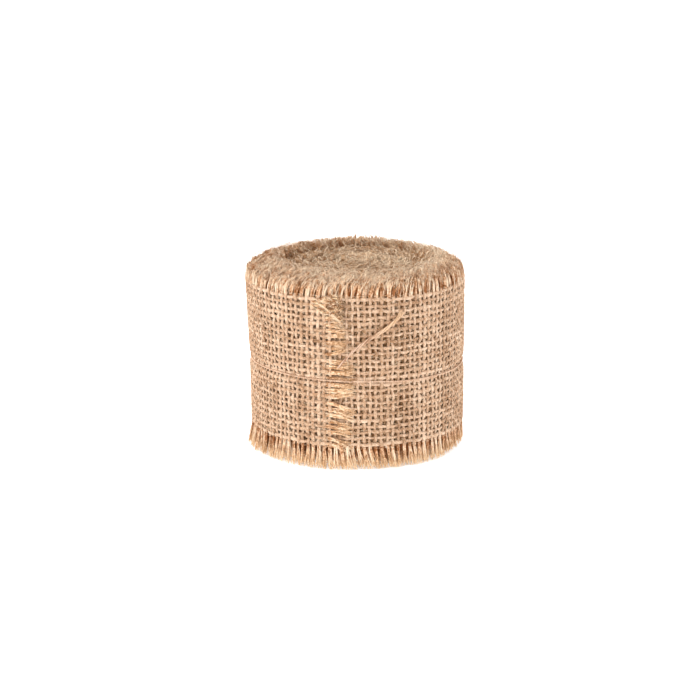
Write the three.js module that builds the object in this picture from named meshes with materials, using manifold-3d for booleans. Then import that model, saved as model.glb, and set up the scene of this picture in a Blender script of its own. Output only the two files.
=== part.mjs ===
// A coreless roll of burlap ribbon with frayed edges, tied round its waist with a thread.
// Millimetres, +Z up. The roll stands on its lower frayed edge: its axis is Z and its base is z = 0.
// The ribbon is one strip wound on itself. It is divided into lengths only where the roll moves:
// the outer, middle, inner and centre turns telescope, and the free end's two corners fold back.
import * as THREE from 'three';
import { mergeVertices } from 'three/addons/utils/BufferGeometryUtils.js';
import Module from 'manifold-3d';

const wasm = await Module();
wasm.setup();

// Driving dimensions
const ROLL_RADIUS = 40;
const ROLL_HEIGHT = 70;
const RIBBON_LENGTH = 4572;
const CLOTH_THICKNESS = 0.8;
const CORE_RADIUS = 2.2;
const GAP = 0.3;
const SEGMENTS_PER_TURN = 24;

// The strip's turns, counted inwards from the free end
const PITCH = Math.PI * (ROLL_RADIUS ** 2 - CORE_RADIUS ** 2) / RIBBON_LENGTH;
const TOTAL_TURNS = (ROLL_RADIUS - CORE_RADIUS) / PITCH;
const MIDDLE_START = 12;
const INNER_START = 20;
const CENTRE_START = 28;

// Heights: the woven band lies between the two frayed edges, and the top is a shallow dish
const BAND_BOTTOM = 8.2;
const BAND_TOP = 63.2;
const MIDDLE_TOP = 66.2;
const INNER_TOP = 65.2;
const CENTRE_TOP = 67;

// The free end
const FRONT = -Math.PI / 2;
const END_ANGLE = FRONT - THREE.MathUtils.degToRad(4);
const TAIL_LENGTH = 20;
const TAIL_TURNS = TAIL_LENGTH / (2 * Math.PI * ROLL_RADIUS);

// The frayed edges
const FLARE_RADIUS = 41.4;
const FRINGE_INNER_RADIUS = ROLL_RADIUS - MIDDLE_START * PITCH + 0.45;
const SHOULDER_RADIUS = ROLL_RADIUS - PITCH - 0.45;
const RING_SEGMENTS = 48;

// The tie thread, its knot at the back, and the pulled yarn at the front
const THREAD_HEIGHT = 31.5;
const THREAD_DIAMETER = 0.6;
const KNOT_RADIUS = 1;
const BACK = Math.PI / 2;
const TIE_END_LENGTH = 11;
const YARN_DIAMETER = 0.8;
const CORD_SIDES = 8;
const CORD_STEP_DIAMETERS = 2;

const colours = { weave: 0xc8a887, fringe: 0xdab38a, thread: 0xd9b896, yarn: 0xd6b086 };
const finish = (colour) => new THREE.MeshStandardMaterial({ color: colour, roughness: 0.95, metalness: 0 });

const group = new THREE.Group();

function addPart(name, geometry, colour) {
  const mesh = new THREE.Mesh(geometry, finish(colour));
  mesh.name = name;
  group.add(mesh);
  return mesh;
}

// Outer face of the strip, a number of turns inwards from the free end
function turnRadius(turns) {
  return ROLL_RADIUS - PITCH * turns;
}

function turnAngle(turns) {
  return END_ANGLE - 2 * Math.PI * turns;
}

function polar(radius, angle) {
  return new THREE.Vector2(radius * Math.cos(angle), radius * Math.sin(angle));
}

// Turn counts from start to end, on corners that line up from one turn to the next
function turnSteps(start, end) {
  const steps = [start];
  const first = Math.floor(start * SEGMENTS_PER_TURN + 1.5);
  for (let k = first; k / SEGMENTS_PER_TURN < end - 0.5 / SEGMENTS_PER_TURN; k += 1) {
    steps.push(k / SEGMENTS_PER_TURN);
  }
  steps.push(end);
  return steps;
}

// One length of the ribbon, wound: a strip that stands on edge
function woundStrip(start, end, bottom, top) {
  const turns = turnSteps(start, end);
  const outer = turns.map((t) => polar(turnRadius(t), turnAngle(t)));
  const inner = turns.map((t) => polar(turnRadius(t) - CLOTH_THICKNESS, turnAngle(t)));
  const shape = new THREE.Shape([...outer, ...inner.reverse()]);
  const geometry = new THREE.ExtrudeGeometry(shape, { depth: top - bottom, bevelEnabled: false });
  return geometry.translate(0, 0, bottom);
}

// The share of a turn that leaves the standing gap between two lengths of the strip
function gapTurns(turns) {
  return GAP / (2 * Math.PI * turnRadius(turns));
}

// Ring turned about Z, from a profile of radius and height that closes on itself
function turnedRing(profile) {
  const points = [...profile, profile[0]].map(([radius, height]) => new THREE.Vector2(radius, height));
  const geometry = new THREE.LatheGeometry(points, RING_SEGMENTS);
  return geometry.rotateX(Math.PI / 2);
}

function roundSection(diameter) {
  const corners = [];
  for (let k = 0; k < CORD_SIDES; k += 1) {
    corners.push(polar(diameter / 2, (2 * Math.PI * k) / CORD_SIDES));
  }
  return new THREE.Shape(corners);
}

function tubeAlong(curve, diameter, steps) {
  return new THREE.ExtrudeGeometry(roundSection(diameter), { extrudePath: curve, steps, bevelEnabled: false });
}

function toSolid(geometry) {
  const bare = geometry.clone();
  bare.deleteAttribute('normal');
  bare.deleteAttribute('uv');
  const merged = mergeVertices(bare);
  const vertProperties = new Float32Array(merged.attributes.position.array);
  const triVerts = new Uint32Array(merged.index.array);
  return new wasm.Manifold(new wasm.Mesh({ numProp: 3, vertProperties, triVerts }));
}

function toGeometry(solid) {
  const mesh = solid.getMesh();
  const geometry = new THREE.BufferGeometry();
  geometry.setAttribute('position', new THREE.BufferAttribute(new Float32Array(mesh.vertProperties), 3));
  geometry.setIndex(new THREE.BufferAttribute(new Uint32Array(mesh.triVerts), 1));
  return geometry;
}

// The free end's outer face stands one pitch proud of the turn beside it, past the cut
function surfaceRadius(angle) {
  const fullTurn = 2 * Math.PI;
  const inwards = THREE.MathUtils.euclideanModulo(END_ANGLE - angle, fullTurn) / fullTurn;
  return turnRadius(inwards);
}

function surfacePoint(angle, height, lift) {
  const at = polar(surfaceRadius(angle) + lift, angle);
  return new THREE.Vector3(at.x, at.y, height);
}

// --- The wound ribbon ---
const tailStart = TAIL_TURNS + gapTurns(0);
addPart('outer_turns', woundStrip(tailStart, MIDDLE_START, BAND_BOTTOM, BAND_TOP), colours.weave);
addPart('middle_turns', woundStrip(MIDDLE_START + gapTurns(MIDDLE_START), INNER_START, 0, MIDDLE_TOP),
  colours.weave);
addPart('inner_turns', woundStrip(INNER_START + gapTurns(INNER_START), CENTRE_START, 0, INNER_TOP),
  colours.weave);
addPart('centre_turns', woundStrip(CENTRE_START + gapTurns(CENTRE_START), TOTAL_TURNS, 0, CENTRE_TOP),
  colours.weave);

// --- The frayed edges of the outer turns ---
const fringeClear = BAND_BOTTOM - GAP;
addPart('frayed_edge_bottom', turnedRing([
  [FRINGE_INNER_RADIUS, 0],
  [FLARE_RADIUS, 0],
  [FLARE_RADIUS - 0.5, 1.5],
  [ROLL_RADIUS + 0.4, 4.5],
  [ROLL_RADIUS - PITCH, fringeClear],
  [FRINGE_INNER_RADIUS, fringeClear],
]), colours.fringe);

const shoulderBase = BAND_TOP + GAP;
const shoulderRise = ROLL_HEIGHT - shoulderBase;
const shoulder = [[FRINGE_INNER_RADIUS, shoulderBase], [SHOULDER_RADIUS, shoulderBase]];
const shoulderWidth = 6;
for (let k = 1; k <= 4; k += 1) {
  const turn = (k * Math.PI) / 8;
  shoulder.push([
    SHOULDER_RADIUS - shoulderWidth * (1 - Math.cos(turn)),
    shoulderBase + shoulderRise * Math.sin(turn),
  ]);
}
shoulder.push([FRINGE_INNER_RADIUS + 1.5, ROLL_HEIGHT], [FRINGE_INNER_RADIUS, ROLL_HEIGHT - 1.2]);
addPart('frayed_edge_top', turnedRing(shoulder), colours.fringe);

// --- The free end, above and below the thread ---
const threadClear = THREAD_DIAMETER / 2 + GAP;
addPart('tail_upper', woundStrip(0, TAIL_TURNS, THREAD_HEIGHT + threadClear, BAND_TOP), colours.weave);
addPart('tail_lower', woundStrip(0, TAIL_TURNS, BAND_BOTTOM, THREAD_HEIGHT - threadClear), colours.weave);

// --- The tie thread: once round the waist, then a knot with two short ends ---
// Its loop is a spiral like the turn under it, and it steps down past the cut end of the ribbon.
function threadLoop() {
  const lift = GAP + THREAD_DIAMETER / 2;
  const stepDown = THREE.MathUtils.degToRad(15);
  const points = [];
  for (let k = 0; k <= RING_SEGMENTS; k += 1) {
    const angle = BACK + (2 * Math.PI * k) / RING_SEGMENTS;
    const past = THREE.MathUtils.euclideanModulo(angle - END_ANGLE, 2 * Math.PI);
    const hold = Math.max(0, 1 - past / stepDown) * PITCH;
    const point = surfacePoint(angle, THREAD_HEIGHT, lift);
    const flat = polar(Math.hypot(point.x, point.y) + hold, angle);
    points.push(new THREE.Vector3(flat.x, flat.y, THREAD_HEIGHT));
  }
  return new THREE.CatmullRomCurve3(points);
}

function threadEnd(side) {
  const lift = GAP + THREAD_DIAMETER / 2 + 0.2;
  const points = [surfacePoint(BACK, THREAD_HEIGHT, lift)];
  for (let k = 1; k <= 3; k += 1) {
    const angle = BACK + (side * 0.045 * k);
    points.push(surfacePoint(angle, THREAD_HEIGHT - (k * TIE_END_LENGTH) / 3, lift));
  }
  return new THREE.CatmullRomCurve3(points);
}

const knotCentre = surfacePoint(BACK, THREAD_HEIGHT, GAP + KNOT_RADIUS);
const knot = new THREE.SphereGeometry(KNOT_RADIUS, 12, 8).translate(knotCentre.x, knotCentre.y, knotCentre.z);
let thread = toSolid(knot).add(toSolid(tubeAlong(threadLoop(), THREAD_DIAMETER, 2 * RING_SEGMENTS)));
for (const side of [-1, 1]) {
  thread = thread.add(toSolid(tubeAlong(threadEnd(side), THREAD_DIAMETER, 8)));
}
addPart('tie_thread', toGeometry(thread), colours.thread);

// --- The pulled yarn: it leaves the cut end and lies slantwise over the front ---
// Each place is an angle past the front in degrees, a height, and a lift off the surface.
const yarnPlaces = [
  [-10.2, 37.9, 0.7], [-6, 41.2, 0.75], [-2.7, 43.9, 1.9], [1.2, 46, 1.5], [5.2, 47.9, 1.0],
  [9.3, 49.6, 0.8], [13.3, 51.2, 0.75], [17, 53, 0.75], [20.3, 55, 0.8], [23.2, 57.6, 0.9],
];
const yarnCurve = new THREE.CatmullRomCurve3(yarnPlaces.map(([degrees, height, lift]) => (
  surfacePoint(FRONT + THREE.MathUtils.degToRad(degrees), height, lift)
)));
const yarnSteps = Math.round(yarnCurve.getLength() / (YARN_DIAMETER * CORD_STEP_DIAMETERS));
addPart('loose_yarn', tubeAlong(yarnCurve, YARN_DIAMETER, yarnSteps), colours.yarn);

export default group;
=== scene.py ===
"""Looks of a coreless roll of burlap ribbon with frayed edges, tied round its waist with a thin thread.

The cloth is made yarn by yarn. A place on the ribbon is a length along it from its free end and a height,
and the wound ribbon is the spiral of the CAD model. Lengths are in metres unless a comment says otherwise.
In the strands and fibres, w runs from 0 at the root to 1 at the tip.
"""
import math

import bpy
import numpy as np
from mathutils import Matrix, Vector


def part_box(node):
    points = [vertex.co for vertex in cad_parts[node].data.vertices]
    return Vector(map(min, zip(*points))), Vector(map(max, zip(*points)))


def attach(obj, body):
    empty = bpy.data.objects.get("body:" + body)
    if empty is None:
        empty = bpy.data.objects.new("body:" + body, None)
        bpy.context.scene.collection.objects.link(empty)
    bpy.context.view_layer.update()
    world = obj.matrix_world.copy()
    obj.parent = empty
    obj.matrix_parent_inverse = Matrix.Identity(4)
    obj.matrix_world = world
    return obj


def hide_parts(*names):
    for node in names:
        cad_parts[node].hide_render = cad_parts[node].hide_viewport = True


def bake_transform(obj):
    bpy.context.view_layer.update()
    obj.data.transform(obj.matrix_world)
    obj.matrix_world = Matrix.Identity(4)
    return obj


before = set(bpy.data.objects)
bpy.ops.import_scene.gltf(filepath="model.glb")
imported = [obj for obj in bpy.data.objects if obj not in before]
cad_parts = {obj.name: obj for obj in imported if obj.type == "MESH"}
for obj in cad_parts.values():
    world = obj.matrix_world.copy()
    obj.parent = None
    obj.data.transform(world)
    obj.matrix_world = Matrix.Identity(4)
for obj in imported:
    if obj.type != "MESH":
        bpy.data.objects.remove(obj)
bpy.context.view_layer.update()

MM = 0.001
TO_CM = 100
UP = np.array([0, 0, 1.0])

# --- Driving dimensions, as in the CAD model ---
ROLL_RADIUS = 40 * MM
CORE_RADIUS = 2.2 * MM
RIBBON_LENGTH = 4572 * MM
CLOTH_THICKNESS = 0.8 * MM
PITCH = math.pi * (ROLL_RADIUS**2 - CORE_RADIUS**2) / RIBBON_LENGTH
TOTAL_TURNS = (ROLL_RADIUS - CORE_RADIUS) / PITCH
MIDDLE_START, INNER_START, CENTRE_START = 12, 20, 28
FRONT = -math.pi / 2
BACK = math.pi / 2
END_ANGLE = FRONT - math.radians(4)
TAIL_LENGTH = 20 * MM
THREAD_HEIGHT = 31.5 * MM

BAND_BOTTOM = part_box("outer_turns")[0].z
BAND_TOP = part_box("outer_turns")[1].z
ROLL_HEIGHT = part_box("frayed_edge_top")[1].z
MID_RADIUS = ROLL_RADIUS - CLOTH_THICKNESS / 2

# --- The weave ---
ROWS = 25
ROW_PITCH = (BAND_TOP - BAND_BOTTOM) / ROWS
COLUMN_PITCH = 2.1 * MM
YARN_WIDTH = 1.2 * MM
YARN_DEPTH = 0.5 * MM
CRIMP = 0.26 * MM
FRAYED_LENGTH = 7 * MM


# ---------------------------------------------------------------- random values

# How many different values a seed gives
CHANCES = 8192


def chance(rows, seed, low=0.0, high=1.0):
    """A random value for each row number, the same whenever the same row and seed are asked for."""
    table = np.random.default_rng(seed).uniform(low, high, CHANCES)
    return table[np.asarray(rows) % CHANCES]


def waves(rows, along, lengths, seed):
    """A smooth random value of about -1 to 1 along each row, the same wherever the row is cut."""
    total = 0
    for k, wavelength in enumerate(lengths):
        phase = chance(rows, seed + 101 * k, 0, 2 * math.pi)
        total = total + np.sin(2 * math.pi * along / wavelength + phase[:, None])
    return total / math.sqrt(len(lengths))


def smooth(x):
    """0 below 0, 1 above 1, and smooth between."""
    x = np.clip(x, 0, 1)
    return x * x * (3 - 2 * x)


def profile(at, places):
    """The value at each place on the line through a few (place, value) pairs."""
    return np.interp(at, *zip(*places))


# ---------------------------------------------------------------- places on the wound ribbon

def turns_at(length):
    """Turns inwards from the free end, at a length along the ribbon."""
    return (MID_RADIUS - np.sqrt(MID_RADIUS**2 - PITCH * length / math.pi)) / PITCH


def length_at(turns):
    """Length along the ribbon from its free end, at a number of turns inwards."""
    return 2 * math.pi * (MID_RADIUS * turns - PITCH * turns**2 / 2)


def angle_at(length):
    return END_ANGLE - 2 * math.pi * turns_at(length)


def radius_at(length):
    return MID_RADIUS - PITCH * turns_at(length)


def polar(radius, angle, height):
    radius, angle, height = np.broadcast_arrays(radius, angle, height)
    return np.stack([radius * np.cos(angle), radius * np.sin(angle), height], axis=-1)


def on_cloth(length, height, out=0.0):
    """Points on the wound ribbon's middle surface, moved outwards by out."""
    return polar(radius_at(length) + out, angle_at(length), height)


def outwards(angle):
    return polar(1.0, angle, 0.0)


def towards_core(angle):
    """The way along the ribbon from its free end: clockwise from above."""
    return polar(1.0, angle - math.pi / 2, 0.0)


def thread_sway(angle):
    """The thread isn't quite level: it lies highest at the left."""
    return (0.9 * (1 - np.cos(angle)) + 0.2 * np.sin(3 * angle + 0.6) + 0.1 * np.sin(7 * angle)) * MM


def slump(points):
    """The roll's own shape: it leans out at its upper left, and the thread pinches its waist."""
    foot, rise = -0.45 * MM, 2.4 * MM
    pinch_depth, pinch_reach = 0.75 * MM, 1.9 * MM
    x, y, z = points[..., 0], points[..., 1], points[..., 2]
    radius = np.maximum(np.hypot(x, y), 1e-9)
    outer = smooth((radius - 27.5 * MM) / (12 * MM))
    lean = outer * smooth(-x / radius) * (foot + rise * (z / ROLL_HEIGHT) ** 2)
    from_thread = z - THREAD_HEIGHT - thread_sway(np.arctan2(y, x))
    pinch = pinch_depth * np.exp(-((from_thread / pinch_reach) ** 2)) * smooth((radius - 37 * MM) / (3 * MM))
    moved = points.copy()
    moved[..., :2] *= (1 + (lean - pinch) / radius)[..., None]
    return moved


# How far the frayed end reaches past the ribbon's nominal end, as (share of the band's height, millimetres)
END_OVERHANG = [(0, 0.2), (0.25, 1.4), (0.45, 2.3), (0.54, 1.9), (0.6, -1.0), (0.78, -1.5), (0.85, -3.0),
                (1, -5.5)]


def end_overhang(height):
    return MM * profile((height - BAND_BOTTOM) / (BAND_TOP - BAND_BOTTOM), END_OVERHANG)


# ---------------------------------------------------------------- meshes

def in_scene(name, data):
    """A new object that is in the scene."""
    made = bpy.data.objects.new(name, data)
    bpy.context.scene.collection.objects.link(made)
    return made


def new_object(name, mesh, material):
    piece = in_scene(name, mesh)
    mesh.materials.append(material)
    return piece


class Tubes:
    """Closed tubes that are gathered into one mesh.

    Every tube has a tone, random and in the frayed edges with painted shade as well, and a tip that is 1
    where it turns blond and below 0 where it is darker: painted shade at the roots of the frayed edges,
    random tone elsewhere.
    The UV layer "yarn" runs along a tube in centimetres and once round it, and "OFBake" gives every tube its
    own cell of a texture, with a margin round it.
    """

    MARGIN_ALONG, MARGIN_ROUND = 0.04, 0.1

    def __init__(self):
        self.batches = []

    def add(self, centre, side, up, half_side, half_up, sides, tone, tip=0.0):
        """Adds N tubes of M rings. centre is (N, M, 3), and the rest broadcasts to that.

        A tube's section is an ellipse, half_side and half_up from its centre.
        """
        shape = centre.shape[:2]
        self.batches.append({
            "centre": centre,
            "side": np.broadcast_to(side, centre.shape),
            "up": np.broadcast_to(up, centre.shape),
            "half_side": np.broadcast_to(half_side, shape),
            "half_up": np.broadcast_to(half_up, shape),
            "sides": sides,
            "tone": np.broadcast_to(tone, shape[:1]),
            "tip": np.broadcast_to(tip, shape),
        })

    def piece(self, name, material, slot):
        return new_object(name, self._mesh(name), material)

    def _mesh(self, name):
        count = sum(b["centre"].shape[0] for b in self.batches)
        columns = self._columns(count)
        cells = (columns, math.ceil(count / columns))
        points, loops, sizes, yarn, bake, tone, tip = [], [], [], [], [], [], []
        first_point, first_tube = 0, 0
        for b in self.batches:
            part = self._batch(b, first_point, first_tube, cells)
            for store, value in zip((points, loops, sizes, yarn, bake, tone, tip), part):
                store.append(value)
            first_point += len(part[0])
            first_tube += b["centre"].shape[0]
        points = slump(np.concatenate(points))
        mesh = bpy.data.meshes.new(name)
        loops, sizes = np.concatenate(loops), np.concatenate(sizes)
        mesh.vertices.add(len(points))
        mesh.vertices.foreach_set("co", points.astype(np.float32).ravel())
        mesh.loops.add(len(loops))
        mesh.loops.foreach_set("vertex_index", loops.astype(np.int32))
        mesh.polygons.add(len(sizes))
        mesh.polygons.foreach_set("loop_start", (np.cumsum(sizes) - sizes).astype(np.int32))
        mesh.update(calc_edges=True)
        mesh.shade_smooth()
        for layer, values in (("yarn", yarn), ("OFBake", bake)):
            uv = mesh.uv_layers.new(name=layer)
            uv.uv.foreach_set("vector", np.concatenate(values).astype(np.float32).ravel())
        for layer, values in (("tone", tone), ("tip", tip)):
            attribute = mesh.attributes.new(layer, "FLOAT", "POINT")
            attribute.data.foreach_set("value", np.concatenate(values).astype(np.float32))
        return mesh

    def _columns(self, count):
        """Columns of cells, so that a cell has about the shape of an unrolled tube."""
        long, round_it = 0, 0
        for b in self.batches:
            long += np.linalg.norm(np.diff(b["centre"], axis=1), axis=2).sum()
            round_it += math.pi * (b["half_side"] + b["half_up"]).mean() * b["centre"].shape[0]
        return max(1, math.ceil(math.sqrt(count * round_it / long)))

    def _batch(self, b, first_point, first_tube, cells):
        tubes, rings = b["centre"].shape[:2]
        sides = b["sides"]
        turn = 2 * math.pi * np.arange(sides) / sides - math.pi / 2
        ring = (
            b["centre"][:, :, None, :]
            + b["side"][:, :, None, :] * (b["half_side"][:, :, None] * np.cos(turn))[..., None]
            + b["up"][:, :, None, :] * (b["half_up"][:, :, None] * np.sin(turn))[..., None]
        )
        ahead = b["centre"][:, 1] - b["centre"][:, 0]
        forward = (np.cross(b["side"][:, 0], b["up"][:, 0]) * ahead).sum() > 0
        point = first_point + np.arange(tubes * rings * sides).reshape(tubes, rings, sides)
        beside = np.roll(point, -1, axis=2)
        quads = np.stack([point[:, :-1], beside[:, :-1], beside[:, 1:], point[:, 1:]], axis=-1)

        step = np.linalg.norm(np.diff(b["centre"], axis=1), axis=2)
        along = np.concatenate([np.zeros((tubes, 1)), np.cumsum(step, axis=1)], axis=1)
        share = along / along[:, -1:]
        across = np.arange(sides + 1) / sides
        low = np.broadcast_to(across[:-1], (tubes, rings - 1, sides))
        high = np.broadcast_to(across[1:], (tubes, rings - 1, sides))

        def corners(value):
            near = np.broadcast_to(value[:, :-1, None], low.shape)
            far = np.broadcast_to(value[:, 1:, None], low.shape)
            flat = np.stack([near, near, far, far], axis=-1)
            around = np.stack([low, high, high, low], axis=-1)
            ends = value[:, [0, -1], None] * np.ones((1, 1, sides))
            round_end = np.broadcast_to(across[:-1], ends.shape)
            return flat, around, ends, round_end

        starts, ends = point[:, 0, ::-1], point[:, -1]
        caps = np.stack([starts, ends], axis=1)
        if not forward:
            quads, caps = quads[..., ::-1], caps[..., ::-1]

        def layer(value, spread):
            flat, around, end, round_end = corners(value)
            body = np.stack([flat, around], axis=-1)
            lids = np.stack([end, round_end], axis=-1)
            if not forward:
                body = body[..., ::-1, :]
            body, lids = spread(body), spread(lids)
            return np.concatenate([body.reshape(-1, 2), lids.reshape(-1, 2)])

        columns, rows = cells
        tube = first_tube + np.arange(tubes)
        column, row = tube % columns, tube // columns

        def to_cell(uv):
            extra = (None,) * (uv.ndim - 2)
            inside_u = self.MARGIN_ALONG + (1 - 2 * self.MARGIN_ALONG) * uv[..., 0]
            inside_v = self.MARGIN_ROUND + (1 - 2 * self.MARGIN_ROUND) * uv[..., 1]
            u = (column[(slice(None), *extra)] + inside_u) / columns
            v = (row[(slice(None), *extra)] + inside_v) / rows
            return np.stack([u, v], axis=-1)

        loops = np.concatenate([quads.ravel(), caps.ravel()])
        sizes = np.concatenate([np.full(quads[..., 0].size, 4), np.full(2 * tubes, sides)])
        yarn = layer(along * TO_CM, lambda uv: uv)
        bake = layer(share, to_cell)
        tone = np.repeat(b["tone"], rings * sides)
        tip = np.repeat(b["tip"].ravel(), sides)
        return ring.reshape(-1, 3), loops, sizes, yarn, bake, tone, tip


# ---------------------------------------------------------------- materials

def set_inputs(node, values):
    for name, value in values.items():
        node.inputs[name].default_value = value


class Nodes:
    """Short names for building a node tree."""

    def __init__(self, name):
        self.material = bpy.data.materials.new(name)
        self.material.use_nodes = True
        self.tree = self.material.node_tree
        self.tree.nodes.clear()
        self.shader = self.node("ShaderNodeBsdfPrincipled")
        output = self.node("ShaderNodeOutputMaterial")
        self.link(self.shader.outputs["BSDF"], output.inputs["Surface"])

    def node(self, kind, **settings):
        made = self.tree.nodes.new(kind)
        for key, value in settings.items():
            setattr(made, key, value)
        return made

    def link(self, value, socket):
        """Links another node's output to a socket, or sets a number or a colour on it."""
        if isinstance(value, bpy.types.NodeSocket):
            self.tree.links.new(value, socket)
        elif isinstance(value, tuple):
            socket.default_value = (*value, 1)
        else:
            socket.default_value = value

    def math(self, operation, a, b=0.0, c=0.0, clamp=False):
        made = self.node("ShaderNodeMath", operation=operation, use_clamp=clamp)
        for socket, value in zip(made.inputs, (a, b, c)):
            self.link(value, socket)
        return made.outputs[0]

    def vector(self, x, y, z):
        made = self.node("ShaderNodeCombineXYZ")
        for socket, value in zip(made.inputs, (x, y, z)):
            self.link(value, socket)
        return made.outputs[0]

    def attribute(self, name):
        return self.node("ShaderNodeAttribute", attribute_name=name).outputs["Fac"]

    def uv(self, name):
        made = self.node("ShaderNodeSeparateXYZ")
        self.link(self.node("ShaderNodeUVMap", uv_map=name).outputs["UV"], made.inputs[0])
        return made.outputs["X"], made.outputs["Y"]

    def noise(self, vector, scale, detail, roughness):
        made = self.node("ShaderNodeTexNoise")
        self.link(vector, made.inputs["Vector"])
        set_inputs(made, {"Scale": scale, "Detail": detail, "Roughness": roughness})
        return made.outputs["Fac"]

    def ramp(self, value, stops):
        made = self.node("ShaderNodeValToRGB")
        elements = made.color_ramp.elements
        while len(elements) < len(stops):
            elements.new(0.5)
        for element, (place, colour) in zip(elements, stops):
            element.position = place
            element.color = (*colour, 1)
        self.link(value, made.inputs["Fac"])
        return made.outputs["Color"]

    def mix(self, share, a, b):
        """Mixes two colours. Sockets 6, 7 and 2 are the mix node's for colours."""
        made = self.node("ShaderNodeMix", data_type="RGBA")
        for place, value in ((0, share), (6, a), (7, b)):
            self.link(value, made.inputs[place])
        return made.outputs[2]

    def bump(self, height, distance, strength):
        made = self.node("ShaderNodeBump")
        set_inputs(made, {"Strength": strength, "Distance": distance})
        self.link(height, made.inputs["Height"])
        self.link(made.outputs["Normal"], self.shader.inputs["Normal"])

    def finish(self, colour, roughness, sheen):
        self.link(colour, self.shader.inputs["Base Color"])
        self.link(roughness, self.shader.inputs["Roughness"])
        set_inputs(self.shader, {"Sheen Weight": sheen, "Sheen Roughness": 0.45,
                                 "Sheen Tint": (1.0, 0.9, 0.78, 1.0), "Specular IOR Level": 0.2})
        return self.material


BLOND = (1.0, 0.70, 0.40)


def jute(name, dark, middle, light, twist, fibre_scale, spread, uneven, sheen, speckled=1.0):
    """Jute yarn or fibre: streaks of fibres that wind along it.

    spread is how much the yarns differ in tone, uneven is how strong the blotches of a few millimetres are,
    and speckled is how strong the specks under a millimetre are.
    """
    n = Nodes(name)
    along, around = n.uv("yarn")
    tone, tip = n.attribute("tone"), n.attribute("tip")
    # The streaks are drawn out along the yarn, and every yarn has streaks of its own
    wound = n.math("MULTIPLY_ADD", along, twist, around)
    streaks = n.noise(n.vector(n.math("MULTIPLY", along, 1.2), n.math("MULTIPLY", wound, 3.0),
                               n.math("MULTIPLY", tone, 37.0)), fibre_scale, 5.0, 0.75)
    place = n.node("ShaderNodeTexCoord").outputs["Object"]
    patches, blotches, specks = (n.noise(place, *noise) for noise in (
        (90.0, 3.0, 0.6), (360.0, 2.0, 0.6), (1500.0, 2.0, 0.7)))
    marks = [(streaks, 2.0), (patches, 0.7), (blotches, uneven), (specks, speckled)]
    # The tone and every mark average a half, and so does the level
    whole = spread + sum(strength for _, strength in marks)
    level = n.math("MULTIPLY_ADD", tone, spread, 0.5 - 0.5 * whole)
    for mark, strength in marks:
        level = n.math("MULTIPLY_ADD", mark, strength, level)
    # A tip below 0 darkens the level: painted shade at the roots of the frayed edges, random tone in the
    # loose corner
    level = n.math("ADD", level, n.math("MINIMUM", tip, 0.0), clamp=True)
    colour = n.ramp(level, [(0.0, dark), (0.5, middle), (1.0, light)])
    colour = n.mix(n.math("MULTIPLY", tip, 0.7, clamp=True), colour, BLOND)
    n.bump(streaks, 0.12 * MM, 0.8)
    roughness = n.math("MULTIPLY_ADD", streaks, 0.2, 0.82, clamp=True)
    return n.finish(colour, roughness, sheen)


def woven(name, dark, middle, light):
    """Cloth deep inside the roll: a plain weave drawn from the length and height. Its holes and the edges of
    its yarns are painted dark as shade.
    """
    n = Nodes(name)
    along, up = n.uv("yarn")
    column = n.math("DIVIDE", along, COLUMN_PITCH * TO_CM)
    row = n.math("DIVIDE", up, ROW_PITCH * TO_CM)
    over = n.math("MULTIPLY", n.math("SINE", n.math("MULTIPLY", column, math.pi)),
                  n.math("SINE", n.math("MULTIPLY", row, math.pi)))

    def yarn(value):
        ridge = n.math("ABSOLUTE", n.math("SINE", n.math("MULTIPLY", value, math.pi)))
        return n.math("MULTIPLY", n.math("SUBTRACT", ridge, 0.25), 2.0, clamp=True)

    lengthwise = n.math("MULTIPLY", yarn(row), n.math("MULTIPLY_ADD", over, 0.5, 0.5))
    crosswise = n.math("MULTIPLY", yarn(column), n.math("MULTIPLY_ADD", over, -0.5, 0.5))
    height = n.math("MAXIMUM", lengthwise, crosswise)
    place = n.vector(n.math("MULTIPLY", along, 3.0), n.math("MULTIPLY", up, 9.0), 0.0)
    fibres = n.noise(place, 6.0, 4.0, 0.7)
    level = n.math("MULTIPLY", height, n.math("MULTIPLY_ADD", fibres, 0.9, 0.3), clamp=True)
    colour = n.ramp(level, [(0.05, dark), (0.45, middle), (0.85, light)])
    n.bump(level, 0.35 * MM, 0.9)
    roughness = n.math("MULTIPLY_ADD", fibres, 0.15, 0.85, clamp=True)
    return n.finish(colour, roughness, 0.0)


WEAVE = jute("burlap_weave", (0.34, 0.18, 0.09), (0.60, 0.39, 0.25), (0.82, 0.62, 0.46),
             twist=2.2, fibre_scale=2.2, spread=0.4, uneven=0.7, sheen=0.4)
# The second turn: the same burlap painted darker, as the shade it lies in under the outer turn
UNDER = jute("burlap_under_painted_shade", (0.26, 0.12, 0.04), (0.45, 0.25, 0.12), (0.62, 0.42, 0.24),
             twist=2.2, fibre_scale=2.2, spread=0.35, uneven=0.8, sheen=0.0)
FRINGE = jute("burlap_fringe", (0.34, 0.12, 0.035), (0.90, 0.54, 0.31), (1.0, 0.80, 0.59),
              twist=0.4, fibre_scale=2.0, spread=1.1, uneven=2.0, sheen=0.05, speckled=2.5)
YARN = jute("pulled_yarn_jute", (0.30, 0.13, 0.07), (0.60, 0.37, 0.25), (0.86, 0.63, 0.47),
            twist=0.8, fibre_scale=2.2, spread=1.4, uneven=1.0, sheen=0.1)
THREAD = jute("tie_thread_jute", (0.45, 0.27, 0.16), (0.72, 0.48, 0.33), (0.94, 0.74, 0.56),
              twist=3.0, fibre_scale=2.0, spread=0.3, uneven=0.8, sheen=0.2)
STRIP = woven("burlap_deep_painted_shade", (0.14, 0.06, 0.022), (0.52, 0.30, 0.15), (0.75, 0.50, 0.30))


# ---------------------------------------------------------------- woven yarns

def row_height(rows):
    return BAND_BOTTOM + (rows + 0.5) * ROW_PITCH + chance(rows, 11, -0.14, 0.14) * MM


def column_place(columns):
    return (columns + 0.5) * COLUMN_PITCH + chance(columns, 12, -0.17, 0.17) * MM


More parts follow.
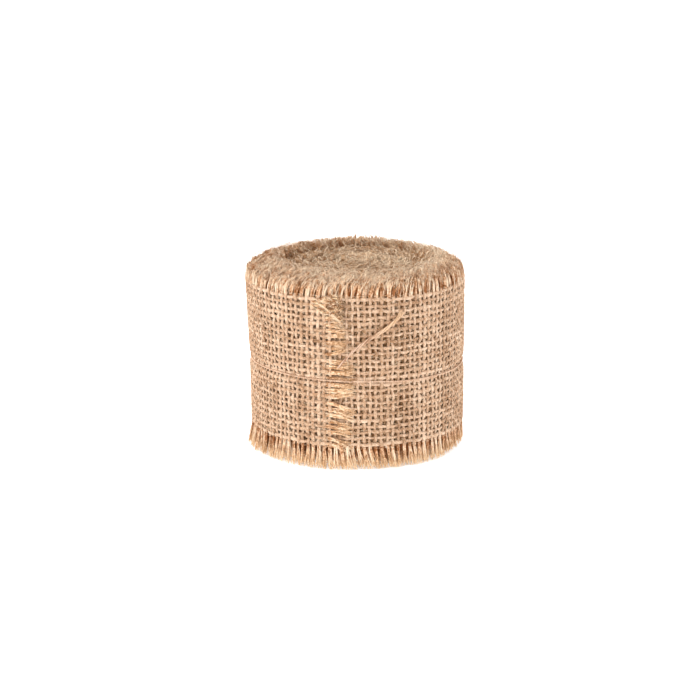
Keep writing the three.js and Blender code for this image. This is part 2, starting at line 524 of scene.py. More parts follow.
def yarn_width(rows, along, seed):
    """Jute is uneven: a yarn has its own width, and thick and thin places."""
    own = chance(rows, seed, 0.8, 1.14)[:, None]
    return YARN_WIDTH * own * (1 + 0.16 * waves(rows, along, [23 * MM, 9.1 * MM, 4.3 * MM], seed + 1))


def add_lengthwise(tubes, rows, start, end, steps_per_crossing, sides):
    """Yarns that run round the roll, between two lengths along the ribbon."""
    rings = max(3, round((end - start) / COLUMN_PITCH * steps_per_crossing) + 1)
    length = np.broadcast_to(np.linspace(start, end, rings), (len(rows), rings))
    height = row_height(rows)[:, None] + 0.2 * MM * waves(rows, length, [41 * MM, 17 * MM, 6.7 * MM], 21)
    crossing = math.pi * (length / COLUMN_PITCH - 0.5) + math.pi * rows[:, None]
    out = CRIMP * np.cos(crossing)
    width = yarn_width(rows, length, 31) * (1 + 0.1 * np.cos(crossing))
    tubes.add(on_cloth(length, height, out), UP, outwards(angle_at(length)), width / 2, YARN_DEPTH / 2,
              sides, chance(rows, 41))


def add_crosswise(tubes, columns, bottom, top, steps_per_crossing, sides):
    """Yarns that run up the roll, between two heights."""
    rings = max(3, round((top - bottom) / ROW_PITCH * steps_per_crossing) + 1)
    height = np.broadcast_to(np.linspace(bottom, top, rings), (len(columns), rings))
    length = column_place(columns)[:, None]
    length = length + 0.2 * MM * waves(columns, height, [37 * MM, 15 * MM, 5.9 * MM], 22)
    crossing = math.pi * ((height - BAND_BOTTOM) / ROW_PITCH - 0.5) + math.pi * columns[:, None]
    out = -CRIMP * np.cos(crossing)
    width = yarn_width(columns, height, 32) * (1 - 0.1 * np.cos(crossing))
    angle = angle_at(length)
    tubes.add(on_cloth(length, height, out), towards_core(angle), outwards(angle),
              width / 2, YARN_DEPTH / 2, sides, chance(columns, 42))


def columns_between(start, end):
    """The crosswise yarns whose places lie between two lengths along the ribbon."""
    first = math.ceil(start / COLUMN_PITCH - 0.5)
    last = math.ceil(end / COLUMN_PITCH - 0.5)
    return np.arange(first, last)


def rows_between(bottom, top):
    rows = np.arange(ROWS)
    height = BAND_BOTTOM + (rows + 0.5) * ROW_PITCH
    return rows[(height > bottom) & (height < top)]


# A woven yarn's detail: its steps from one crossing to the next, and its sides
FINE, COARSE = (4, 6), (3, 5)


def cloth(name, start, end, bottom, top, detail, material):
    """A stretch of woven ribbon, made of its own yarns."""
    tubes = Tubes()
    add_lengthwise(tubes, rows_between(bottom, top), start, end, *detail)
    add_crosswise(tubes, columns_between(start, end), bottom, top, *detail)
    return tubes.piece(name, material, "burlap")


# Sides of every single fibre and strand
STRAND_SIDES = 3


def add_fuzz(tubes, count, start, end, bottom, top, seed):
    """Short stray fibres that stand a little off the cloth, mostly along one set of yarns or the other."""
    own = np.arange(count)
    length = chance(own, seed, start, end)[:, None]
    height = chance(own, seed + 1, bottom, top)[:, None]
    way = (chance(own, seed + 2, -0.5, 0.5) + 0.5 * math.pi * (chance(own, seed + 3) < 0.5))[:, None]
    long = chance(own, seed + 4, 1.2, 4.6)[:, None] * MM
    curl = chance(own, seed + 5, -1.6, 1.6)[:, None]
    from_middle = np.linspace(-0.5, 0.5, 5)
    heading = way + curl * from_middle
    step = long / (len(from_middle) - 1)
    length = length + np.cumsum(step * np.cos(heading), axis=1) - long / 2 * np.cos(way)
    height = height + np.cumsum(step * np.sin(heading), axis=1) - long / 2 * np.sin(way)
    length = np.clip(length, start, end)
    height = np.clip(height, bottom, top)
    lift = (0.42 + chance(own, seed + 6, 0.0, 0.35)[:, None] * (0.3 + 2.5 * from_middle**2)) * MM
    thick = 0.045 * MM * (1 - 1.2 * from_middle**2) * chance(own, seed + 7, 0.6, 1.2)[:, None]
    tubes.add(on_cloth(length, height, lift), UP, outwards(angle_at(length)), thick, thick, STRAND_SIDES,
              0.4 + 0.6 * chance(own, seed + 8), tip=0.15)


def fuzz(name, count, start, end, bottom, top, seed):
    """Stray fibres over a stretch of woven ribbon."""
    tubes = Tubes()
    add_fuzz(tubes, count, start, end, bottom, top, seed)
    return tubes.piece(name, FRINGE, "fringe")


# ---------------------------------------------------------------- frayed edges

# How far the upper yarn ends rise, bend inwards and run on along the roll, and their tone with painted shade
# at the foot of the dish, each as (radius, value). The radii and the first three values are in millimetres.
FRINGE_RISE = [(2, 5.8), (6, 5.5), (9, 4.8), (14, 4.2), (22, 4.2), (26.5, 4.4), (28.8, 6.0), (31, 6.8),
               (33, 6.7), (34.6, 6.3), (35.8, 5.4), (37.2, 5.2), (38.4, 4.7), (40, 4.3)]
FRINGE_INWARDS = [(2, 0.2), (9, 1.2), (26, 1.2), (28, 0.6), (31, 2.0), (35, 2.6), (40, 2.6)]
FRINGE_ALONG = [(2, 2.2), (6, 3.4), (12, 4.6), (26, 5.2), (28, 3.6), (34, 1.8), (40, 1.2)]
FRINGE_TONE_AND_SHADE = [(2, 0.9), (8, 0.9), (14, 0.55), (22, 0.25), (25, -0.25), (28.3, -0.4), (29.5, 0.75),
               (32.5, 0.75), (34.5, 0.4), (36, 0.25), (40, 0.2)]

# The angle that a strand of full length turns through, from straight up
FULL_BEND = 1.62
# Near the axis a strand turns round it no faster than it would at this radius
CENTRE_RADIUS = 3 * MM


def fringe_tone_and_shade(radius, angle):
    """The foot of the dish is painted dark as shade, and its crest is pale.

    The left and back are painted darker than the right as shade. The shoulder at the right of the front is
    darker as well.
    """
    back_left, front_right = 2.3, -1.0
    crest = smooth((radius - 25 * MM) / (2 * MM)) * smooth((35 * MM - radius) / (2 * MM))
    # Painted shade: the crest is darker at the back and left, and inside the shoulder the left is darker and
    # the right lighter
    shade = 0.35 * crest * np.maximum(0, np.cos(angle - back_left))
    shade = shade - 0.2 * np.cos(angle) * smooth((36 * MM - radius) / (4 * MM))
    shoulder = smooth((radius - 30 * MM) / (4 * MM))
    shade = shade + 0.3 * np.maximum(0, np.cos(angle - front_right)) ** 8 * shoulder
    return profile(radius / MM, FRINGE_TONE_AND_SHADE) - shade


def matting(radius):
    """0 in the outer turns, whose upper edge stands in locks, and 1 further in, where it is matted."""
    return 1 - smooth((radius - 26 * MM) / (4 * MM))


# More strands than this would share their numbers with the next yarn's
MOST_STRANDS = 18


def strand_numbers(columns, strands):
    """For every strand of every yarn, the yarn's number and one of its own."""
    column = np.repeat(columns, strands)
    number = np.tile(np.arange(strands), len(columns))
    return column, column * MOST_STRANDS + number


def strand_roots(columns, strands):
    """Strand numbers, with the radius, angle and turns inwards where each strand leaves the cloth."""
    column, own = strand_numbers(columns, strands)
    length = column_place(column)
    return column, own, radius_at(length), angle_at(length), turns_at(length)


def inner_edge(angle, turns):
    """The radius, at each angle, outside the cloth beyond a number of turns: that cloth may slide."""
    past = np.mod(END_ANGLE - angle - 2 * math.pi * turns, 2 * math.pi) / (2 * math.pi)
    free = MID_RADIUS - PITCH * (turns + past) + CRIMP + 0.7 * YARN_DEPTH
    nothing_beyond = turns >= TOTAL_TURNS - 1
    return np.where(nothing_beyond, 0.3 * MM, free)


def add_top_fringe(tubes, columns, strands, last_turn):
    """Yarn ends above the band. Each rises, then bends inwards and along the roll; its strands form locks.

    In this frayed edge and the others, no strand reaches inwards past the last turn of its own body.
    """
    column, own, radius, angle, turns = strand_roots(columns, strands)
    lock = own // 3
    matted = matting(radius)
    overlap = 0.9 * MM
    # A strand of full length has w from 0 to 1, and a shorter one ends sooner
    share = np.linspace(0, 1, 6)
    long = chance(lock, 50, 0.6, 1.1) * chance(own, 150, 0.85, 1.05) * (0.75 + 0.25 * smooth(turns - 0.5))
    w = share * long[:, None]

    at_back = np.maximum(0, np.sin(angle)) ** 8 * (1 - matted)
    rise = MM * profile(radius / MM, FRINGE_RISE) * chance(column, 51, 0.9, 1.06) * (1 + 0.14 * at_back)
    rise = rise * (1 + chance(lock, 52, -0.4, 0.4) * (0.2 + 0.6 * matted))
    inwards = profile(radius / MM, FRINGE_INWARDS) * chance(lock, 53, 0.5, 1.4)
    inwards = MM * (inwards + (0.3 + 1.2 * matted) * chance(lock, 54, -2.2, 2.2))
    lean = 0.75 + 0.65 * np.cos(angle - FRONT) * (1 - matted)
    forwards = profile(radius / MM, FRINGE_ALONG) * lean * chance(lock, 55, 0.3, 1.6)
    forwards = forwards + (0.4 + 1.2 * matted) * chance(lock, 56, -1.8, 1.8)
    forwards = MM * (forwards + chance(own, 156, -0.35, 0.35))

    tone = chance(lock, 60, -0.5, 0.8) + 0.2 * chance(column, 42) + 0.4 * chance(own, 160) + 0.1
    tone = tone + fringe_tone_and_shade(radius, angle)
    tone = tone + matted * (0.3 + chance(lock, 161, -2.2, 1.4) + chance(column, 162, -0.9, 0.9))

    matted = matted[:, None]
    spread = chance(own, 57, -0.5, 0.5)[:, None] * (1.05 + (0.3 - 0.8 * matted) * share) * MM
    lift = chance(own, 58, -0.25, 0.25)[:, None] * (1 + 0.5 * share) * MM
    bend = 1 - np.cos(FULL_BEND * w)
    wander = waves(lock, w, [1.3, 0.6], 59) * (0.3 + 0.5 * matted) * MM * w
    sway = waves(lock, w, [1.1, 0.7], 158) * 0.6 * matted * MM * w
    r = radius[:, None] - inwards[:, None] * bend + lift + sway
    r = np.maximum(r, inner_edge(angle, last_turn)[:, None])
    a = angle[:, None] + (forwards[:, None] * bend + spread + wander) / np.maximum(r, CENTRE_RADIUS)
    z = BAND_TOP - overlap + (rise[:, None] + overlap) * np.sin(FULL_BEND * w) + lift * 0.6
    thick = 0.25 * MM * (1 - 0.6 * share**1.6) * (1 - 0.2 * matted)
    # Painted shade: each strand's lower half is darker, most from the second turn on where the ends stand in
    # locks, as the shade in the gaps between them
    root = -0.15 - 0.7 * smooth(turns - 0.9)[:, None] * (1 - matted)
    tubes.add(polar(r, a, z), towards_core(a), outwards(a), thick * 1.1, thick * 0.8, STRAND_SIDES,
              tone, tip=root * np.maximum(0, 1 - 2 * w) + (0.3 + 0.4 * matted) * w)


def add_hairs(tubes, columns, strands, last_turn):
    """Single long fibres that have come loose and lie over the upper yarn ends, mostly round the roll."""
    _, own, radius, angle, _ = strand_roots(columns, strands)
    tone = 0.5 + chance(own, 157, -1.0, 1.0) * (0.7 + 0.9 * matting(radius)) + fringe_tone_and_shade(radius, angle)
    matted = matting(radius)[:, None]
    w = np.linspace(0, 1, 8)
    millimetres = chance(own, 151, 2.5, 6.5)[:, None] * (1 + 0.5 * matted)
    heading = chance(own, 152, -0.9, 0.9)[:, None] + chance(own, 153, -1.2, 1.2)[:, None] * w
    heading = heading + 0.5 * waves(own, millimetres * w, [5, 2.3], 154)
    step = millimetres * MM / (len(w) - 1)
    r = radius[:, None] - 1.5 * MM + np.cumsum(step * np.sin(heading), axis=1)
    a = angle[:, None] + np.cumsum(step * np.cos(heading), axis=1) / np.maximum(r, CENTRE_RADIUS)
    r = np.clip(r, inner_edge(a, last_turn) + 0.2 * MM, 39.5 * MM)
    above = profile(r / MM + 2, FRINGE_RISE) + 0.1 + chance(own, 155, -0.7, 0.8)[:, None]
    z = BAND_TOP + MM * (above + 0.5 * waves(own, millimetres * w, [7], 156))
    thick = 0.11 * MM * (1 - 0.7 * w**2) * chance(own, 159, 0.6, 1.2)[:, None] * (1 + 0.7 * matted)
    tubes.add(polar(r, a, z), towards_core(a), outwards(a), thick, thick, STRAND_SIDES,
              tone, tip=0.3 * matted)


def add_bottom_fringe(tubes, columns, strands, last_turn):
    """Yarn ends below the band: they hang, and the outermost ones flare."""
    column, own, radius, angle, turns = strand_roots(columns, strands)
    w = np.linspace(0, 1, 6)
    start = BAND_BOTTOM + 0.8 * MM
    flare = (0.6 - 0.7 * np.cos(angle)) * np.exp(-turns / 1.2) + chance(column, 61, -0.3, 0.5)
    shorter_at_right = 1.2 * smooth((np.cos(angle) - 0.75) * 7)
    drop = start - (0.1 + 1.5 * chance(own, 62) ** 3 + shorter_at_right) * MM
    lean_in_front = 1.7 * np.maximum(0, np.cos(angle - FRONT - 0.12)) ** 30
    sideways = 0.35 + lean_in_front + chance(column, 63, -0.8, 0.8) + chance(own, 64, -1.1, 1.1)
    across = chance(own, 65, -0.45, 0.45)[:, None] + sideways[:, None] * w**1.5
    across = across + 0.35 * waves(own, w, [1.5, 0.7], 67) * w
    out = flare[:, None] * w**1.4 + chance(own, 66, -0.6, 0.5)[:, None] * (0.3 + w)
    r = np.maximum(radius[:, None] + out * MM, inner_edge(angle, last_turn)[:, None])
    a = angle[:, None] + across * MM / r
    z = start - drop[:, None] * w
    thick = 0.21 * MM * (1 - 0.68 * w**2)
    tone = 0.5 * chance(own, 68) + 0.7 * chance(column, 42) - 0.12
    # Painted shade: the strands darken towards their roots under the band, most from the second turn in,
    # behind the outer strands. The blond of their tips is partly painted light from the pale floor below.
    dark = -0.25 - 0.9 * smooth(2 * turns - 1.9)[:, None]
    tubes.add(polar(r, a, z), towards_core(a), outwards(a), thick * 1.1, thick * 0.8, STRAND_SIDES,
              tone, tip=dark * (1 - w) + 1.1 * w**1.5)


def fringe(name, start, end, add, counts, last_turn):
    """The frayed edge of a stretch of ribbon, whose body ends at last_turn.

    counts has pairs of a limit and the strands of each yarn in the turns before it.
    """
    tubes = Tubes()
    low = start
    for limit, strands in counts:
        high = min(end, length_at(limit))
        columns = columns_between(low, high)
        if len(columns):
            add(tubes, columns, strands, last_turn)
            low = high
    return tubes.piece(name, FRINGE, "fringe")


# ---------------------------------------------------------------- strips deep inside the roll

def strip(name, start, end, first_top=BAND_TOP):
    """A stretch of ribbon where its yarns can't be seen: a closed sheet on edge, wound as the CAD solid is.

    Its first turn reaches up only to first_top, where woven yarns take over.
    """
    steps_per_turn = 72
    first_turn, last_turn = turns_at(start), turns_at(end)
    turns = np.linspace(first_turn, last_turn, math.ceil((last_turn - first_turn) * steps_per_turn) + 1)
    length = length_at(turns)
    top = np.where(turns < first_turn + 1, first_top, BAND_TOP)
    half = CLOTH_THICKNESS / 2
    outline = [(half, 0), (half, 0.5), (half, 1), (-half, 1), (-half, 0.5), (-half, 0)]
    height = np.stack([BAND_BOTTOM + (top - BAND_BOTTOM) * share for _, share in outline], axis=1)
    ring = np.stack([on_cloth(length, height[:, j], out) for j, (out, _) in enumerate(outline)], axis=1)
    sides = len(outline)
    faces, corners = [], []
    for k in range(len(turns) - 1):
        for j in range(sides):
            beside = (j + 1) % sides
            corners += [(k, j), (k + 1, j), (k + 1, beside), (k, beside)]
            faces.append(tuple(at * sides + side for at, side in corners[-4:]))
    for k, way in ((0, 1), (len(turns) - 1, -1)):
        lid = [(k, j) for j in range(sides)][::way]
        corners += lid
        faces.append(tuple(at * sides + side for at, side in lid))
    mesh = bpy.data.meshes.new(name)
    mesh.from_pydata(slump(ring.reshape(-1, 3)).tolist(), [], faces)
    mesh.update()
    uv = [(length[k] * TO_CM, height[k, j] * TO_CM) for k, j in corners]
    mesh.uv_layers.new(name="yarn").uv.foreach_set("vector", np.array(uv, np.float32).ravel())
    return new_object(name, mesh, STRIP)


# ---------------------------------------------------------------- the free end

# The frayed end's tufts, from the bottom: the first row of each, and how far its tip leans up in millimetres
TUFTS = [(0, -2.8), (2, -1.2), (5, -2.4), (8, 0.4), (12, -0.9), (15, 0.5), (18, -0.4), (21, -2.0)]


def add_tufts(tubes, rows, strands):
    """The frayed end: lengthwise yarns without crosswise ones, opened into fibres that gather in tufts."""
    row, own = strand_numbers(rows, strands)
    first, lean = np.array(TUFTS).T
    tuft = np.searchsorted(first, row, side="right") - 1
    last = np.append(first[1:], ROWS)[tuft] - 1
    middle = BAND_BOTTOM + ((first[tuft] + last) / 2 + 0.5) * ROW_PITCH
    w = np.linspace(0, 1, 8)
    start = FRAYED_LENGTH + chance(own, 71, 0.6, 2.2) * MM
    finish = (chance(row, 72, -0.5, 0.5) + chance(own, 73, -0.3, 1.5)) * MM - end_overhang(row_height(row))
    length = start[:, None] + (finish - start)[:, None] * w
    root = row_height(row) + chance(own, 74, -0.6, 0.6) * MM
    tip = middle + (row_height(row) - middle) * 0.55 + (lean[tuft] + chance(own, 75, -1.3, 1.3)) * MM
    wander = waves(own, w, [1.2, 0.55], 76) * 0.42 * MM * w
    height = root[:, None] + (tip - root)[:, None] * w**1.6 + wander
    lift = (chance(own, 77, -0.3, 0.4)[:, None] - 0.75 * w**2) * MM
    thick = 0.2 * MM * (1 - 0.62 * w**2)
    tone = chance(own, 78, 0.05, 0.6) + 0.25 * chance(tuft, 79)
    tubes.add(on_cloth(length, height, lift), UP, outwards(angle_at(length)), thick * 1.3, thick * 0.75,
              STRAND_SIDES, tone, tip=0.15 + 0.35 * w)


def add_loose_corner(tubes, strands):
    """The end's upper corner: crosswise yarns that have come out hang slantwise over it as loose fibres.

    A few of them are straight. share is a fibre's place in the bundle, from lower left to upper right.
    """
    own = np.arange(strands)
    straight = own % 30 == 0
    w = np.linspace(0, 1, 10)
    share = np.where(straight, 0.35 * chance(own, 170), chance(own, 171))[:, None]
    start = (13.5 - 9.5 * share + chance(own, 172, -1.2, 1.2)[:, None]) * MM
    finish = (2.4 + 2.2 * share + chance(own, 173, -1.2, 1.2)[:, None]) * MM
    high = BAND_TOP + (-2.4 + 3.2 * share + chance(own, 174, -0.9, 0.9)[:, None]) * MM
    low = BAND_TOP + (-11.0 + 7.0 * share + chance(own, 175, -2.0, 2.0)[:, None]) * MM
    curl = np.where(straight, 0.15, 1.4)[:, None] * np.sin(math.pi * w) ** 0.5 * MM
    length = start + (finish - start) * w**0.85 + curl * waves(own, w, [0.9, 0.45], 176)
    height = high + (low - high) * w**1.2 + 1.1 * curl * waves(own, w, [1.0, 0.4], 179)
    lift = (0.5 + chance(own, 177, 0.0, 0.9)[:, None] * (1 - 0.7 * w)) * MM
    thick = np.where(straight, 0.19, 0.16)[:, None] * (1 - 0.6 * w**2) * MM
    tone = np.where(straight, 1.0, chance(own, 178, -0.2, 1.2))
    tip = np.where(straight, 0.2, chance(own, 180, -0.6, 1.2))[:, None]
    tubes.add(on_cloth(length, height, lift), UP, outwards(angle_at(length)), thick, thick, STRAND_SIDES,
              tone, tip)


def tail(side, bottom, top):
    """The free end's upper or lower part, above or below the thread."""
    woven_part, loose_part = Tubes(), Tubes()
    rows = rows_between(bottom, top)
    columns = columns_between(FRAYED_LENGTH, TAIL_LENGTH)
    add_lengthwise(woven_part, rows, FRAYED_LENGTH + 1.2 * MM, TAIL_LENGTH, *FINE)
    add_crosswise(woven_part, columns, bottom, top, *FINE)
    add_tufts(loose_part, rows, strands=15)
    add_fuzz(loose_part, 400, FRAYED_LENGTH, TAIL_LENGTH, bottom, top, seed=111)
    if side == "upper":
        held, free = THREAD_HEIGHT + 2.4 * MM, THREAD_HEIGHT + 9 * MM
        add_top_fringe(loose_part, columns, 9, last_turn=MIDDLE_START)
        add_loose_corner(loose_part, strands=120)
    else:
        held, free = THREAD_HEIGHT - 0.3 * MM, THREAD_HEIGHT - 8 * MM
        add_bottom_fringe(loose_part, columns, 12, last_turn=MIDDLE_START)
        add_bottom_fringe(loose_part, np.arange(0, columns[0]), 7, last_turn=MIDDLE_START)
    cloth_piece = woven_part.piece(f"tail_cloth_{side}", WEAVE, "burlap")
    fray_piece = loose_part.piece(f"tail_fray_{side}", FRINGE, "fringe")
    for piece in (cloth_piece, fray_piece):
        on_cloth(TAIL_LENGTH, held)
        on_cloth(TAIL_LENGTH, free)
        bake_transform(piece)
    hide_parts(f"tail_{side}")


# ---------------------------------------------------------------- the thread and the pulled yarn

def surface_radius(angle):
    """Outer face of the wound ribbon at each angle: it steps out by one pitch at the free end."""
    return ROLL_RADIUS - PITCH * np.mod(END_ANGLE - angle, 2 * math.pi) / (2 * math.pi)


def along_path(path, strands, rings):
    """A path's points, evenly spaced, with its side and outward directions, once for every strand."""
    step = np.linalg.norm(np.diff(path, axis=0), axis=1)
    along = np.concatenate([[0], np.cumsum(step)])
    at = np.linspace(0, along[-1], rings)
    line = np.stack([np.interp(at, along, path[:, k]) for k in range(3)], axis=1)
    ahead = np.gradient(line, axis=0)
    ahead /= np.linalg.norm(ahead, axis=1)[:, None]
    out = line * np.array([1, 1, 0])
    side = np.cross(ahead, out)
    side /= np.linalg.norm(side, axis=1)[:, None]
    up = np.cross(side, ahead)
    shape = (strands, rings, 3)
    return *(np.broadcast_to(each, shape) for each in (line, side, up)), at


def add_plies(tubes, path, plies, helix, thick, lay, rings, sides, seed, opening=None, tip=0.0):
    """Plies twisted round a path. lay is the length of one twist, and opening spreads them, ring by ring."""
    line, side, up, at = along_path(path, plies, rings)
    turn = 2 * math.pi * (at / lay + np.arange(plies)[:, None] / plies)
    reach = helix * (np.ones(rings) if opening is None else opening)
    centre = line + side * (reach * np.cos(turn))[..., None] + up * (reach * np.sin(turn))[..., None]
    tubes.add(centre, side, up, thick, thick, sides, chance(np.arange(plies), seed), tip)


def tie_thread():
    """Two plies round the waist, a knot at the back and two short ends."""
    tubes = Tubes()
    angle = BACK + np.linspace(0, 2 * math.pi, 361)
    past = np.mod(angle - END_ANGLE, 2 * math.pi)
    step_down = math.radians(15)
    hold = np.maximum(0, 1 - past / step_down) * PITCH
    loop = polar(surface_radius(angle) + hold + 0.32 * MM, angle, THREAD_HEIGHT + thread_sway(angle))
    add_plies(tubes, loop, 2, helix=0.15 * MM, thick=0.19 * MM, lay=1.7 * MM, rings=2400, sides=5, seed=81)

    t = np.linspace(0, 2 * math.pi, 120)
    centre = polar(surface_radius(np.array(BACK)) + 0.75 * MM, BACK, loop[0, 2])
    knot = centre + 0.3 * MM * np.stack([
        np.sin(t) + 2 * np.sin(2 * t), np.sin(3 * t), np.cos(t) - 2 * np.cos(2 * t)], axis=1)
    add_plies(tubes, knot, 2, helix=0.13 * MM, thick=0.16 * MM, lay=1.5 * MM, rings=160, sides=5, seed=82)

    for hand, long, curl in ((-1, 10.5 * MM, 0.9), (1, 8.5 * MM, -0.6)):
        w = np.linspace(0, 1, 24)
        a = BACK + hand * (0.02 + 0.1 * w + 0.03 * curl * np.sin(3 * w))
        end = polar(surface_radius(a) + (0.5 - 0.2 * w) * MM, a, THREAD_HEIGHT - 0.3 * MM - long * w)
        rings = 90
        opening = np.interp(np.linspace(0, 1, rings), w, 1 + 1.6 * smooth((w - 0.75) * 4))
        add_plies(tubes, end, 2, helix=0.13 * MM, thick=0.15 * MM, lay=1.5 * MM, rings=rings, sides=5,
                  seed=83 + hand, opening=opening)
    piece = tubes.piece("tied_thread", THREAD, "thread")
    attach(piece, "tie_thread")
    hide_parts("tie_thread")


# Angle past the front in degrees, height and lift off the surface in millimetres, as in the CAD model
YARN_PLACES = [
    (-10.2, 37.9, 0.7), (-6, 41.2, 0.75), (-2.7, 43.9, 1.9), (1.2, 46, 1.5), (5.2, 47.9, 1.0),
    (9.3, 49.6, 0.8), (13.3, 51.2, 0.75), (17, 53, 0.75), (20.3, 55, 0.8), (23.2, 57.6, 0.9),
]


def rounded(points, steps):
    """A smooth line through the points: a Catmull-Rom curve."""
    points = np.asarray(points, float)
    ends = np.concatenate([[2 * points[0] - points[1]], points, [2 * points[-1] - points[-2]]])
    line = []
    for a, b, c, d in zip(ends, ends[1:], ends[2:], ends[3:]):
        t = np.linspace(0, 1, steps, endpoint=False)[:, None]
        line.append(0.5 * (2 * b + (c - a) * t + (2 * a - 5 * b + 4 * c - d) * t**2
                           + (3 * b - a - 3 * c + d) * t**3))
    return np.concatenate([*line, points[-1:]])


def loose_yarn():
    """A yarn pulled out of the cut end: a loose twist that opens at its tip."""
    places = np.array(YARN_PLACES)
    angle = FRONT + np.radians(places[:, 0])
    radius = surface_radius(angle) + places[:, 2] * MM
    line = rounded(polar(radius, angle, places[:, 1] * MM), 6)
    tubes = Tubes()
    rings = 70
    share = np.linspace(0, 1, rings)
    opening = 0.45 + 0.85 * smooth(share * 1.8) + 0.15 * np.sin(21 * share)
    opening = opening + 0.8 * smooth((share - 0.88) * 8)
    tip = 0.6 * smooth(share * 1.6 - 0.4)
    add_plies(tubes, line, 11, helix=0.34 * MM, thick=0.14 * MM, lay=11 * MM, rings=rings, sides=4,
              seed=91, opening=opening, tip=tip)
    inner = line[: int(len(line) * 0.94)]
    add_plies(tubes, inner, 4, helix=0.14 * MM, thick=0.18 * MM, lay=7 * MM, rings=rings, sides=4,
              seed=92, opening=opening, tip=tip)
    piece = tubes.piece("pulled_yarn", YARN, "yarn")
    path = slump(line)
    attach(piece, "loose_yarn")
    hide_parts("loose_yarn")


# ---------------------------------------------------------------- the stage

def stage():
    white = (1, 1, 1, 1)
    floor = bpy.data.meshes.new("floor")
    floor.from_pydata([(-3, -3, 0), (3, -3, 0), (3, 3, 0), (-3, 3, 0)], [], [(0, 1, 2, 3)])
    piece = in_scene("floor", floor)
    material = bpy.data.materials.new("pale_floor")
    material.use_nodes = True
    set_inputs(material.node_tree.nodes["Principled BSDF"], {
        "Base Color": white, "Roughness": 0.9, "Specular IOR Level": 0.1,
        "Emission Color": white, "Emission Strength": 0.5})
    floor.materials.append(material)

    world = bpy.data.worlds.new("studio")
    world.use_nodes = True
    set_inputs(world.node_tree.nodes["Background"], {"Color": white, "Strength": 1.0})
    bpy.context.scene.world = world

    def softbox(name, place, size, power, colour):
        light = bpy.data.lights.new(name, "AREA")
        light.shape = "SQUARE"
        light.size = size
        light.energy = power
        light.color = colour
        lamp = in_scene(name, light)
        lamp.location = place
        lamp.rotation_euler = (Vector((0, 0, 0.03)) - Vector(place)).to_track_quat("-Z", "Y").to_euler()

    softbox("key", (-1.3, -0.5, 1.1), 0.6, 12, (1, 0.98, 0.95))
    softbox("fill", (1.3, -0.1, 0.8), 0.9, 2.5, (1, 0.97, 0.95))
    softbox("top", (0, 0.4, 1.5), 0.8, 3, (1, 0.98, 0.96))
    scene = bpy.context.scene
    scene.view_settings.view_transform = "Standard"
    scene.view_settings.look = "None"


def camera():
    elevation = math.radians(14.5)
    distance = 0.8
    aim = Vector((-2.8 * MM, 0, 34.1 * MM))
    data = bpy.data.cameras.new("camera")
    data.sensor_width = 36
    data.lens = 111
    data.clip_start = 0.01
    eye = in_scene("camera", data)
    eye.location = aim + distance * Vector((0, -math.cos(elevation), math.sin(elevation)))
    eye.rotation_euler = (aim - eye.location).to_track_quat("-Z", "Y").to_euler()
    bpy.context.scene.camera = eye


# ---------------------------------------------------------------- assembly

# The first turn's right half reaches this far under the free end
UNDERLAP = 14 * MM
TURN_ONE, TURN_TWO = length_at(1) + UNDERLAP, length_at(2)
HALF_WAY = (TAIL_LENGTH + TURN_ONE) / 2
MIDDLE, INNER, CENTRE, CORE = (length_at(t) for t in (MIDDLE_START, INNER_START, CENTRE_START, TOTAL_TURNS))
WEAVE_TOP = BAND_TOP + 0.4 * MM
WEAVE_BOTTOM = BAND_BOTTOM - 0.4 * MM
RIM_ROWS = 6
RIM_BOTTOM = BAND_TOP - RIM_ROWS * ROW_PITCH

# Strands of each yarn's upper and lower end, and loose hairs beside it, in the turns before each limit
TOP_STRANDS = [(3, 9), (TOTAL_TURNS, 6)]
BOTTOM_STRANDS = [(1, 12), (2, 9), (4, 5), (TOTAL_TURNS, 3)]
HAIRS = [(6, 2), (9, 3), (12, 1), (TOTAL_TURNS, 3)]


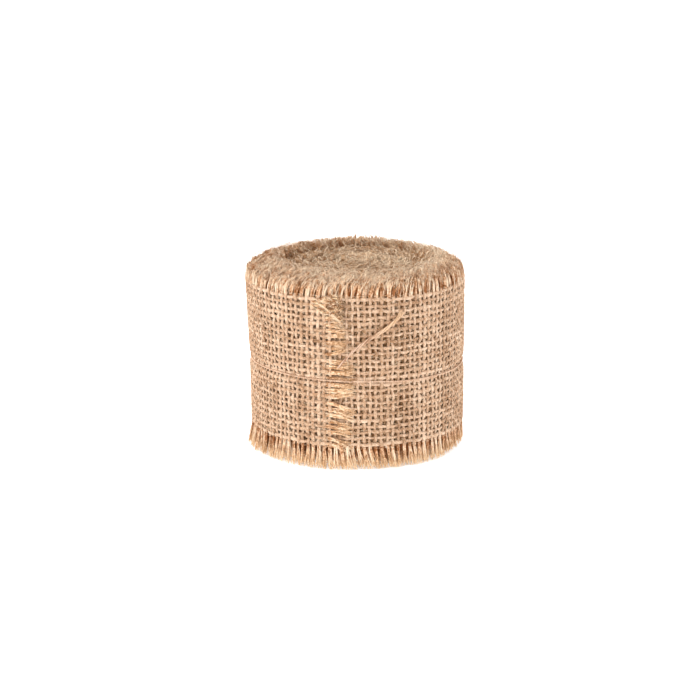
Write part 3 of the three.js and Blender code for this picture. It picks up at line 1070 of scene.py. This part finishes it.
def frayed_edges(body, start, end):
    """The frayed edges of a stretch of ribbon, with the fibres that lie loose on the upper one.

    The upper edge is made in two lengths, so that no mesh is too large.
    """
    last_turn = turns_at(end)
    half_way = length_at((turns_at(start) + last_turn) / 2)
    edges = [
        fringe(f"upper_fringe_first_{body}", start, half_way, add_top_fringe, TOP_STRANDS, last_turn),
        fringe(f"upper_fringe_second_{body}", half_way, end, add_top_fringe, TOP_STRANDS, last_turn),
        fringe(f"lower_fringe_{body}", start, end, add_bottom_fringe, BOTTOM_STRANDS, last_turn),
        fringe(f"loose_hairs_{body}", start, end, add_hairs, HAIRS, last_turn),
    ]
    for edge in edges:
        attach(edge, body)
    return edges


def outer_turns():
    """The outer turns: yarn by yarn where they show, and a plain strip inside."""
    for label, start, end in (("left", TAIL_LENGTH, HALF_WAY), ("right", HALF_WAY, TURN_ONE)):
        piece = cloth(f"outer_cloth_{label}", start, end, WEAVE_BOTTOM, WEAVE_TOP, FINE, WEAVE)
        fibres = fuzz(f"stray_fibres_{label}", 4500, start, end, WEAVE_BOTTOM, WEAVE_TOP, seed=101)
        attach(piece, "roll")
        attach(fibres, "roll")
    second = cloth("second_cloth", TURN_ONE, TURN_TWO, WEAVE_BOTTOM, WEAVE_TOP, COARSE, UNDER)
    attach(second, "roll")
    deep = strip("wound_cloth_roll", TURN_TWO, MIDDLE)
    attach(deep, "roll")
    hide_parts("outer_turns")
    edges = frayed_edges("roll", TAIL_LENGTH, MIDDLE)
    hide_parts("frayed_edge_top")
    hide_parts("frayed_edge_bottom")


def inside_turns(body, start, end):
    """Turns that telescope: the rim that then shows is woven yarn by yarn."""
    first_end = length_at(turns_at(start) + 1)
    rim = cloth(f"rim_cloth_{body}", start, first_end, RIM_BOTTOM, WEAVE_TOP, COARSE, WEAVE)
    deep = strip(f"wound_cloth_{body}", start, end, RIM_BOTTOM)
    for piece in (rim, deep):
        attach(piece, body)
    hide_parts(body)
    frayed_edges(body, start, end)


camera()
loose_yarn()
outer_turns()
inside_turns("middle_turns", MIDDLE, INNER)
inside_turns("inner_turns", INNER, CENTRE)
inside_turns("centre_turns", CENTRE, CORE)
tail("upper", THREAD_HEIGHT, WEAVE_TOP)
tail("lower", WEAVE_BOTTOM, THREAD_HEIGHT)
tie_thread()
stage()
